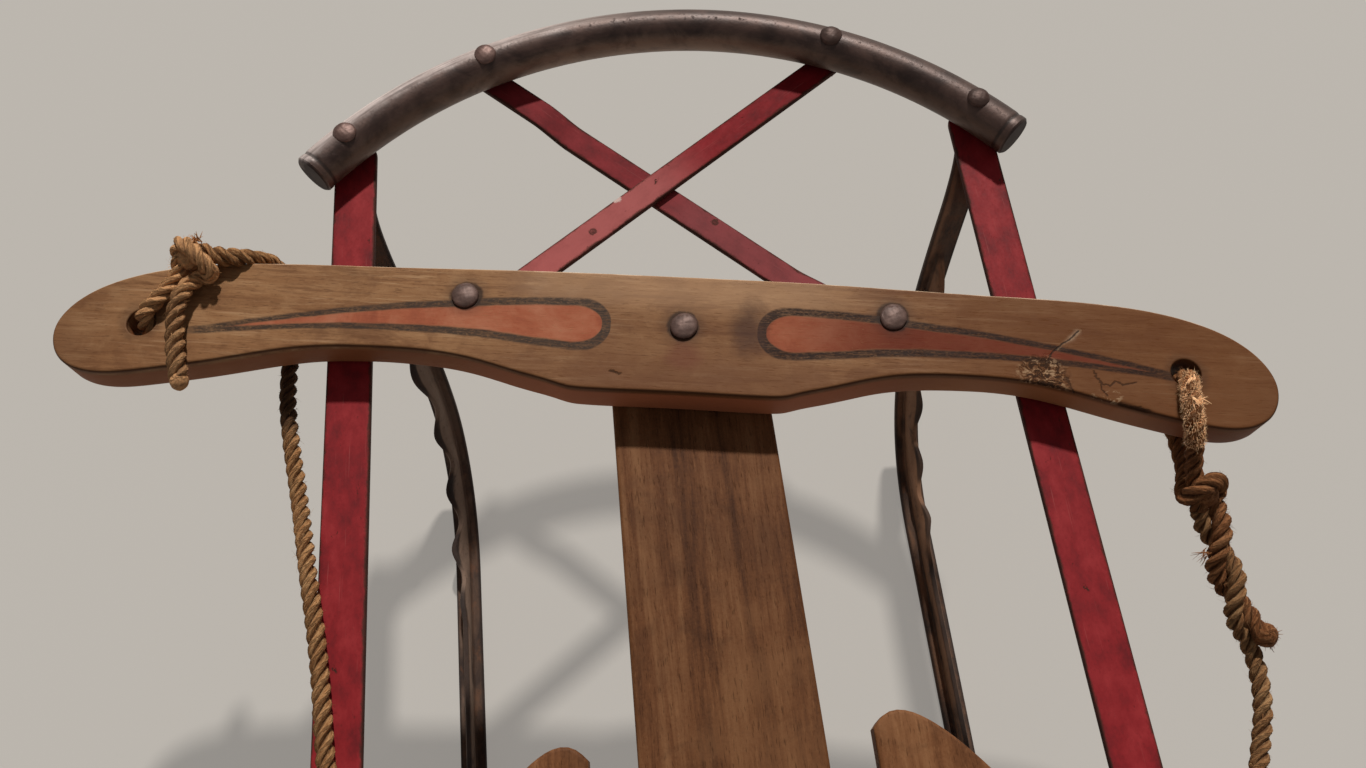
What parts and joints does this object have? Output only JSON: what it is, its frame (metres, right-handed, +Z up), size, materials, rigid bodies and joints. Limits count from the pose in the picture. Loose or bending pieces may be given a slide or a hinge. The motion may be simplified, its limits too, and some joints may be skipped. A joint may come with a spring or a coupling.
{
  "type": "wooden sled",
  "caption": "Wooden coasting sled with slatted deck, steel T-runners, round steel bow, crossed steering links and a pivoted wooden steering bar.",
  "frame": {"origin": "On the floor, on the axis of the steering bar's pivot bolt, with the sled standing on its runners.", "axes": "+X to the rider's right, +Y forward to the bow, +Z up."},
  "size_m": [0.4928, 1.0413, 0.2084],
  "materials": {
    "varnished_maple": "worn clear varnish with orange-red teardrops",
    "deck_board": "worn varnish, dark with age",
    "deck_wood": "worn warm varnish",
    "aged_steel_fastener": "aged, dull",
    "red_painted_steel": "old red paint, chipped to dark metal",
    "aged_steel_bow": "bare steel, brown with age",
    "rusted_runner_steel": "brown rust",
    "jute_rope": "three-strand laid natural fibre",
    "dark_knee_steel": "old red paint, rusted at the edges"
  },
  "bodies": {
    "sled": {"centre_board": "deck_board", "slat_left": "deck_wood", "slat_right": "deck_wood", "bench_front": "deck_wood", "bench_middle": "deck_wood", "bench_rear": "deck_wood", "rail_left": "deck_wood", "rail_right": "deck_wood", "knee_front_left": "dark_knee_steel", "knee_front_right": "dark_knee_steel", "knee_middle_left": "dark_knee_steel", "knee_middle_right": "dark_knee_steel", "knee_rear_left": "dark_knee_steel", "knee_rear_right": "dark_knee_steel", "runner_left": "rusted_runner_steel", "runner_right": "rusted_runner_steel", "pivot_bolt": "aged_steel_fastener", "strap_bolt_left": "aged_steel_fastener", "strap_bolt_right": "aged_steel_fastener", "tow_rope": "jute_rope"},
    "steering_bar": {"steering_bar": "varnished_maple", "link_bolt_left": "aged_steel_fastener", "link_bolt_right": "aged_steel_fastener", "rope_knot_left": "jute_rope", "rope_knot_right": "jute_rope"},
    "link_over": {"link_over": "red_painted_steel"},
    "link_under": {"link_under": "red_painted_steel"},
    "strap_left": {"strap_left": "red_painted_steel"},
    "strap_right": {"strap_right": "red_painted_steel"},
    "bow": {"bow": "aged_steel_bow", "bow_rivet_left_outer": "aged_steel_fastener", "bow_rivet_left_inner": "aged_steel_fastener", "bow_rivet_right_inner": "aged_steel_fastener", "bow_rivet_right_outer": "aged_steel_fastener"}
  },
  "joints": [
    {"name": "steer", "type": "hinge", "parent": "sled", "child": "steering_bar", "pos_m": [0, 0, 0.1825], "axis": [0, 0, 1], "range_deg": [-2.6, 21.4], "deforming": ["tow_rope"]},
    {"name": "strap_left_sway", "type": "hinge", "parent": "sled", "child": "strap_left", "pos_m": [-0.146, -0.225, 0.171], "axis": [0, 0, 1], "range_deg": [-0.73, 5.26]},
    {"name": "strap_right_sway", "type": "hinge", "parent": "sled", "child": "strap_right", "pos_m": [0.146, -0.225, 0.171], "axis": [0, 0, 1], "range_deg": [-0.75, 5.47]},
    {"name": "bow_turn", "type": "hinge", "parent": "strap_left", "child": "bow", "pos_m": [-0.14122, 0.114, 0.1825], "axis": [0, 0, 1], "range_deg": [-5.37, 0.74]},
    {"name": "link_over_turn", "type": "hinge", "parent": "steering_bar", "child": "link_over", "pos_m": [-0.08921, 0.0244, 0.171], "axis": [0, 0, 1], "range_deg": [-10.01, 1.3]},
    {"name": "link_under_turn", "type": "hinge", "parent": "steering_bar", "child": "link_under", "pos_m": [0.08632, -0.00517, 0.171], "axis": [0, 0, 1], "range_deg": [-10.62, 1.38]}
  ],
  "couplings": [
    {"joint": "strap_left_sway", "follows": "steer", "ratio": 0.24095},
    {"joint": "strap_right_sway", "follows": "steer", "ratio": 0.25093},
    {"joint": "bow_turn", "follows": "steer", "ratio": -0.24609},
    {"joint": "link_over_turn", "follows": "steer", "ratio": -0.46312},
    {"joint": "link_under_turn", "follows": "steer", "ratio": -0.49162}
  ]
}
